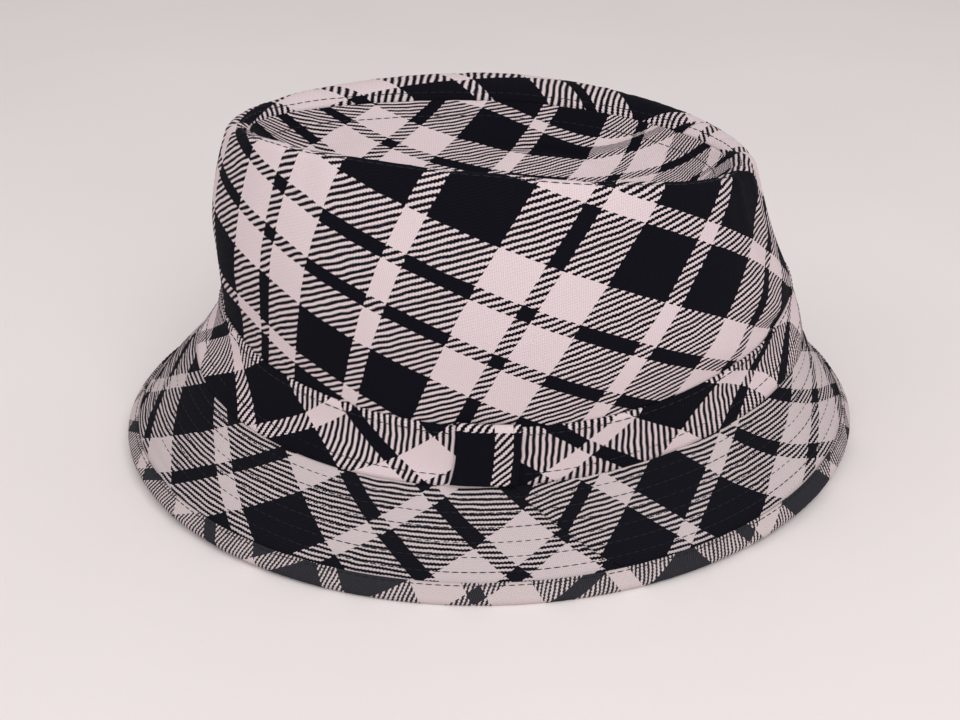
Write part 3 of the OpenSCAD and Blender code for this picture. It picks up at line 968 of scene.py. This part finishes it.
@dataclass
class Crown:
    """The crown: side, tip, their stiffenings and linings, and the stitching of the rim."""

    surfaces: HatSurfaces
    flat: Development
    finishes: Finishes
    columns: int = 420
    wall_rows: int = 18
    cone: float = 212.0
    level: float = 46.0
    side_lay: ClothLay = ClothLay(58.9, 24.6, 1.4, -4.4, bow=13.8)
    far_from: float = 178.0
    far_drift: float = 25.3
    far_turn: float = 0.38
    tip_lay: ClothLay = ClothLay(60.0, 8.0, 47.5, -17.2)
    tip_stretch: float = 0.35
    tip_tuck: float = 16.0

    def build(self) -> None:
        """Makes every piece of the crown."""
        f, finishes = self.surfaces.form, self.finishes
        self._side("crown_side_cloth", "crown_side", 0.0, f.crown_cloth_t, 4.0, self.columns,
                   finishes.plaid, Piece.PLAID)
        self._side("crown_side_fusing", "crown_side_stiffening", f.crown_core_at,
                   f.crown_core_t, 2.5, 144, finishes.stiffening, Piece.STIFFENING)
        self._side("crown_side_lining_cloth", "crown_side_lining", f.crown_lining_at,
                   f.lining_t, 4.0, 144, finishes.lining, Piece.LINING)
        self._side("sweatband_ribbon", "sweatband", f.sweatband_at, f.sweatband_t,
                   f.sweatband_top, 144, finishes.sweatband, Piece.SWEATBAND)
        self._tip("crown_tip_cloth", "crown_tip", 0.0, f.crown_cloth_t, 0.0, 360, 60,
                  finishes.plaid, Piece.PLAID)
        self._tip("crown_tip_fusing", "crown_tip_stiffening", f.crown_core_at, f.crown_core_t,
                  0.12, 120, 24, finishes.stiffening, Piece.STIFFENING)
        self._tip("crown_tip_lining_cloth", "crown_tip_lining", f.crown_lining_at, f.lining_t,
                  0.0, 144, 30, finishes.lining, Piece.LINING)
        self._stitching()

    def _side(self, name: str, node: str, depth: float, thick: float, top: float, columns: int,
              material: bpy.types.Material, slot: Piece) -> None:
        """One layer of the side, from the brim's seam up to a height."""
        surfaces, flat = self.surfaces, self.flat
        rows = round(top * self.wall_rows * columns / self.columns)

        def surface(x: float, y: float) -> Vector:
            """The layer's outer face."""
            return surfaces.side(surfaces.form.join_at + 360 * x, top * y, -depth)

        def lay(x: float, y: float) -> Tuple[float, float]:
            """Where the cloth of a point was cut, eased round the far side."""
            angle = surfaces.form.join_at + 360 * x
            height = flat.run_along("side", lambda share: surfaces.side_plain(angle, 4 * share),
                                    angle, top * y / 4)
            p, q = self.side_lay.place(*flat.crown(angle, height, self.cone, self.level))
            run = -flat.band_run(angle)
            past = run - self.far_from
            p += self.far_drift * MM * smooth_step(100.0, 216.0, run)
            q -= self.far_turn * MM * (past + math.hypot(past, 20.0)) / 2
            return p, q

        piece = cloth_shell(name, columns, rows, surface, lay, thick, material)
        join_up(piece, slot, node)

    def _tip(self, name: str, node: str, depth: float, thick: float, start: float, columns: int,
             rows: int, material: bpy.types.Material, slot: Piece) -> None:
        """One layer of the tip, from a share of the way in to its middle."""
        surfaces = self.surfaces

        def surface(x: float, y: float) -> Vector:
            """The layer's outer face."""
            return surfaces.tip(surfaces.form.join_at + 360 * x, start + (1 - start) * y, -depth)

        def lay(x: float, y: float) -> Tuple[float, float]:
            """Where the cloth of a point was cut."""
            u, v = self._tip_flat(surfaces.form.join_at + 360 * x, start + (1 - start) * y)
            hidden = self.tip_tuck * smooth_step(-5.0, 50.0, u) * smooth_step(37.0, 41.0, v)
            p, q = self.tip_lay.place(u, v + self.tip_stretch * (max(v, 28.0) - 36.5))
            return p, q + hidden * MM

        piece = cloth_shell(name, columns, rows, surface, lay, thick, material)
        join_up(piece, slot, node)

    def _tip_flat(self, angle: float, s: float) -> Tuple[float, float]:
        """Flat place of a point on the tip, from the dent's lowest point."""
        surfaces = self.surfaces
        run = self.flat.run_along("tip", lambda share: surfaces.tip_plain(angle, 1 - share),
                                  angle, 1 - s)
        away = surfaces.tip_plain(angle, min(s, 0.99)) - surfaces.dent_low
        away = Vector((away.x, away.y)).normalized() * run
        return away.x, away.y

    def _stitching(self) -> None:
        """The rows on both sides of the rim's seam."""
        surfaces, f = self.surfaces, self.surfaces.form
        stitches = Stitches(2.7, 0.3, 0.34)
        angles = [f.join_at + 360 * i / 240 for i in range(241)]

        def height(angle: float) -> float:
            """The row's place on the side."""
            back = math.degrees(f.rim_row_w / surfaces.roll_radius(angle))
            around = f.tip_seam_at - min(back, 90)
            return 3 + (around - f.roll_from) / (f.tip_seam_at - f.roll_from)

        rows = ([surfaces.side(a, height(a)) for a in angles],
                [surfaces.tip(a, 0.11) for a in angles])
        normals = ([surfaces.normal(surfaces.side_plain, a, height(a), 0.4, 0.02)
                    for a in angles],
                   [surfaces.normal(surfaces.tip_plain, a, 0.11, 0.4, 0.01) for a in angles])
        for path, ups in zip(rows, normals):
            stitches.row(path, ups)
        join_up(stitches.finish("rim_topstitches", self.finishes.thread), Piece.THREAD,
                "rim_stitching")


@dataclass
class Band:
    """The self-cloth band round the crown with its loop and stitching."""

    surfaces: HatSurfaces
    flat: Development
    finishes: Finishes
    ply: float = 0.55
    ease: float = 1.055
    start_lay: ClothLay = ClothLay(139.7, -37.3, -24.1, 50.7)
    end_lay: ClothLay = ClothLay(141.7, -39.0, 15.8, -5.3)
    lay_loop: ClothLay = ClothLay(90.0, 0.0, 31.8, 24.9)

    def build(self) -> None:
        """Makes the band, its loop and its stitches."""
        surfaces, f = self.surfaces, self.surfaces.form
        gap = f.ply_gap
        whole = (self.flat.band_run(f.loop_at + 360) - self.flat.band_run(f.loop_at)) * self.ease
        ends = zip(self.start_lay.place(whole / 2, 0), self.end_lay.place(-whole / 2, 0),
                   Sett().repeats)
        repeats = [round((a - b) / MM / repeat) * repeat for a, b, repeat in ends]

        def band(x: float, y: float) -> Vector:
            """The band's outer face, its edges pressed closer to the crown."""
            v = 1.0 - 1.045 * (1 - y)
            edge = bump_at(y, 1.0, 0.07) + bump_at(y, 0.0, 0.07)
            angle = f.loop_at + 360 * x
            ripple = 0.25 * noise.noise(Vector((angle / 9, v * 2, 4.0)))
            return surfaces.side(angle, v, gap + f.band_t + 0.25 + (ripple * (1 - edge))
                                 - 0.62 * edge)

        def lay(x: float, y: float) -> Tuple[float, float]:
            """Where the band's cloth was cut: one strip, its ends under the loop."""
            run, up = self.flat.band_run(f.loop_at + 360 * x) * self.ease, f.band_h * y * self.ease
            first, last = self.start_lay.place(run, up), self.end_lay.place(run - whole, up)
            share = smooth_step(0.22, 0.78, x)
            return tuple(a + (b + repeat * MM - a) * share
                         for a, b, repeat in zip(first, last, repeats))

        piece = cloth_shell("hat_band_cloth", 360, 14, band, lay, self.ply,
                            self.finishes.band_plaid)
        join_up(piece, Piece.PLAID, "hat_band")
        self._loop()
        self._stitching()

    def _loop(self) -> None:
        """The loop over the band, turned in over the band's upper edge."""
        surfaces, f = self.surfaces, self.surfaces.form
        half = math.degrees(f.loop_w / f.root_len)
        inner = f.ply_gap * 2 + f.band_t + 0.45

        def loop(x: float, y: float) -> Vector:
            """The loop's outer face, with its top turned in."""
            angle = f.loop_at + half * (2 * x - 1)
            over = smooth_step(0.86, 1.0, y)
            v = 0.01 + (1.0 + f.loop_over / f.band_h) * min(y / 0.93, 1.0)
            crown = 0.35 * (1 - (2 * x - 1) ** 4)
            return surfaces.side(angle, v, (inner + f.loop_t + crown) * (1 - over)
                                 + (f.ply_gap + f.loop_t) * over)

        def lay(x: float, y: float) -> Tuple[float, float]:
            """Where the loop's cloth was cut."""
            return self.lay_loop.place((x - 0.5) * f.loop_w, f.band_h * y)

        piece = cloth_shell("band_loop_cloth", 24, 24, loop, lay, self.ply,
                            self.finishes.band_plaid)
        join_up(piece, Piece.PLAID, "band_loop")

    def _stitching(self) -> None:
        """Rows near the band's lower and upper edges."""
        surfaces, f = self.surfaces, self.surfaces.form
        stitches = Stitches(2.6, 0.3, 0.34)
        half = math.degrees(f.loop_w / f.root_len) + 1
        angles = [f.loop_at + half + (360 - 2 * half) * i / 240 for i in range(241)]
        for share in (f.band_row_h / f.band_h, 0.9):
            out = f.ply_gap + f.band_t + 0.2
            path = [surfaces.side(a, share, out) for a in angles]
            normals = [surfaces.normal(surfaces.side_plain, a, share, 0.4, 0.02) for a in angles]
            stitches.row(path, normals)
        join_up(stitches.finish("band_topstitches", self.finishes.thread), Piece.THREAD,
                "band_stitching")


@dataclass
class Brim:
    """The brim: upper and under cloths in two halves, stiffening, binding and stitching."""

    surfaces: HatSurfaces
    flat: Development
    finishes: Finishes
    front_cone: float = 2000.0
    back_cone: float = 200.0
    front_lay: ClothLay = ClothLay(38.6, 39.7, -25.1, 26.2)
    back_lay: ClothLay = ClothLay(60.8, 12.3, -22.7, 35.0, bow=-10.5, bow_span=90.7)
    binding_lay: ClothLay = ClothLay(124.5, -34.5, 2.35, 2.3)
    rows: int = 44

    def build(self) -> None:
        """Makes every piece of the brim."""
        f = self.surfaces.form
        halves = (("front", 180.0, self.front_lay, self.front_cone),
                  ("back", 0.0, self.back_lay, self.back_cone))
        for side, start, lay, cone in halves:
            self._half(f"brim_top_{side}_cloth", f"brim_top_{side}", start, 180.0, 0.0,
                       f.brim_cloth_t, lay, cone, 300, self.rows, self.finishes.brim_plaid,
                       Piece.PLAID)
            self._half(f"brim_under_{side}_cloth", f"brim_under_{side}", start, 180.0,
                       f.brim_under_at, f.brim_cloth_t, lay, cone, 180, 16,
                       self.finishes.brim_plaid, Piece.PLAID)
        self._half("brim_interlining", "brim_stiffening", 0.0, 360.0, f.brim_core_at,
                   f.brim_core_t, self.front_lay, self.front_cone, 180, 10, self.finishes.stiffening,
                   Piece.STIFFENING)
        self._binding()
        self._stitching()

    def _half(self, name: str, node: str, start: float, sweep: float, depth: float,
              thick: float, cut: ClothLay, cone: float, columns: int, rows: int,
              material: bpy.types.Material, slot: Piece) -> None:
        """One layer of the brim over part of the way round."""
        surfaces, f = self.surfaces, self.surfaces.form
        under = depth >= f.brim_under_at
        gap = math.degrees(f.ply_gap / f.root_wid) if sweep < 360 else 0.0

        def place(x: float, y: float) -> Tuple[float, float]:
            """The angle and share of the brim's width at a point."""
            t = 1 - y
            angle = surfaces.seam_angle(start + gap + (sweep - 2 * gap) * x, t)
            first = surfaces.brim_start(angle, -depth)
            return angle, first + (1 - first) * t

        def surface(x: float, y: float) -> Vector:
            """The layer's upper face."""
            angle, t = place(x, y)
            from_seam = min(x, 1 - x) * (surfaces.form.brim_len + surfaces.form.brim_wid)
            groove = 0.35 * bump_at(from_seam, 0.0, 1.6) if sweep < 360 else 0.0
            lift = 0.0 if under else surfaces.brim_relief(angle, t) - groove
            return surfaces.brim(angle, t, lift - depth, relief=False)

        def lay(x: float, y: float) -> Tuple[float, float]:
            """Where the cloth of a point was cut."""
            angle, t = place(x, y)
            width = t * surfaces.brim_length(angle)
            middle = f.seam_at + 2 * start
            return cut.place(*self.flat.brim(angle, width, cone, middle))

        piece = cloth_shell(name, columns, rows, surface, lay, thick, material)
        join_up(piece, slot, node)

    def _binding(self) -> None:
        """The bias binding folded round the brim's edge."""
        surfaces, f = self.surfaces, self.surfaces.form
        middle = -f.brim_stack / 2
        outer = f.brim_stack / 2 + f.ply_gap + f.binding_t
        leg = f.binding_w
        arc = math.pi * outer
        whole = 2 * leg + arc

        def surface(x: float, y: float) -> Vector:
            """The binding's outer face, from the under side to the upper side."""
            angle = 90 + 360 * x
            run = whole * y
            length = surfaces.brim_length(angle)
            if run < leg:
                along, turned = run - leg, -90.0
            elif run > leg + arc:
                along, turned = leg + arc - run, 90.0
            else:
                along, turned = 0.0, -90.0 + 180.0 * (run - leg) / arc
            c, s = turn(turned)
            crimp = 0.10 * noise.noise(Vector((angle * 1.3, turned / 40, 3.0)))
            lift = outer + crimp
            point = surfaces.brim(angle, 1 + (along + lift * c) / length, middle + lift * s,
                                  relief=False)
            point.z = max(point.z, 0.0)
            return point

        def lay(x: float, y: float) -> Tuple[float, float]:
            """Where the binding's cloth was cut."""
            angle = 90 + 360 * x
            return self.binding_lay.place(self.flat.edge_run(angle), whole * (y - 0.5))

        piece = cloth_shell("brim_edge_binding", 480, 22, surface, lay, f.binding_t,
                            self.finishes.binding_plaid)
        join_up(piece, Piece.PLAID, "brim_binding")

    def _stitching(self) -> None:
        """Rows round the brim and the row that holds the binding."""
        surfaces, f = self.surfaces, self.surfaces.form
        room = min(surfaces.brim_length(0), surfaces.brim_length(90)) - f.binding_w
        stitches = Stitches(2.6, 0.12, 0.36)
        angles = [360 * i / 300 for i in range(301)]
        for row in range(1, int(room / f.row_pitch) + 1):
            shares = [row * f.row_pitch / surfaces.brim_length(a) for a in angles]
            path = [surfaces.brim(a, t) for a, t in zip(angles, shares)]
            stitches.row(path, [surfaces.brim_normal(a) for a in angles])
        join_up(stitches.finish("brim_quilting_stitches", self.finishes.thread), Piece.THREAD,
                "brim_stitching")
        stitches = Stitches(2.4, 0.3, 0.32)
        out = f.ply_gap + f.binding_t
        path = [surfaces.brim(a, 1 - (f.binding_w - 0.9) / surfaces.brim_length(a), out,
                              relief=False) for a in angles]
        stitches.row(path, [surfaces.brim_normal(a) for a in angles])
        join_up(stitches.finish("binding_topstitches", self.finishes.thread), Piece.THREAD,
                "binding_stitching")


# ---------------------------------------------------------------------------------------------
# Studio
# ---------------------------------------------------------------------------------------------


@dataclass(frozen=True)
class Studio:
    """Camera, floor and lights, in metres."""

    elevation: float = 30.8
    distance: float = 0.4329
    roll: float = -1.27
    target: Tuple[float, float, float] = (-0.00271, 0.00021, 0.02006)
    lens: float = 45.33

    def build(self) -> None:
        """Sets the studio up."""
        self._camera()
        self._floor()
        self._lights()

    def _camera(self) -> None:
        """Looks down at the hat's left side."""
        camera = bpy.data.objects.new("camera", bpy.data.cameras.new("camera"))
        bpy.context.scene.collection.objects.link(camera)
        camera.data.lens = self.lens
        camera.data.sensor_width = 36.0
        camera.data.clip_start = 0.01
        c, s = turn(self.elevation)
        back = Vector((0, -c, s))
        tilt = Matrix.Rotation(math.radians(90 - self.elevation), 4, "X")
        spin = Matrix.Rotation(math.radians(self.roll), 4, "Z")
        camera.matrix_world = (Matrix.Translation(Vector(self.target) + back * self.distance)
                               @ tilt @ spin)
        bpy.context.scene.camera = camera

    def _floor(self) -> None:
        """A pale cloth-like floor."""
        bm = bmesh.new()
        bmesh.ops.create_grid(bm, x_segments=2, y_segments=2, size=3.0)
        g = Graph("pale_floor")
        place = g.place()
        tone = g.noise(place, 6.0, 2.0)
        colour = g.mix(tone, (0.86, 0.80, 0.79), (0.92, 0.87, 0.86))
        fine = g.noise(place, 900.0, 2.0)
        floor = finish_mesh("floor", bm, g.finish(colour, 0.9, g.bump(fine, 0.1, 0.0002), 0.0,
                                                  (1.0, 1.0, 1.0)))

    def _lights(self) -> None:
        """A broad light from the upper right and pale surroundings."""
        world = bpy.data.worlds.new("soft_room")
        world.use_nodes = True
        world.node_tree.nodes["Background"].inputs["Color"].default_value = (1.0, 0.97, 0.97, 1)
        world.node_tree.nodes["Background"].inputs["Strength"].default_value = 0.52
        bpy.context.scene.world = world
        self._lamp("window", (0.30, -0.95, 1.10), 1.1, 11.5)
        self._lamp("fill", (-0.9, -0.3, 0.9), 1.2, 2.0)

    @staticmethod
    def _lamp(name: str, place: Tuple[float, float, float], size: float, power: float) -> None:
        """A square lamp aimed at the hat."""
        light = bpy.data.lights.new(name, "AREA")
        light.size = size
        light.energy = power
        lamp = bpy.data.objects.new(name, light)
        bpy.context.scene.collection.objects.link(lamp)
        lamp.location = place
        aim = Vector((0, 0, 0.05)) - Vector(place)
        lamp.rotation_euler = aim.to_track_quat("-Z", "Y").to_euler()


def main() -> None:
    """Builds the hat and its studio."""
    logging.basicConfig(level=logging.INFO)
    bpy.context.scene.view_settings.view_transform = "Standard"
    Studio().build()
    surfaces = HatSurfaces(HatForm())
    flat = Development(surfaces)
    finishes = Finishes()
    Crown(surfaces, flat, finishes).build()
    Band(surfaces, flat, finishes).build()
    Brim(surfaces, flat, finishes).build()


if __name__ == "__main__":
    main()
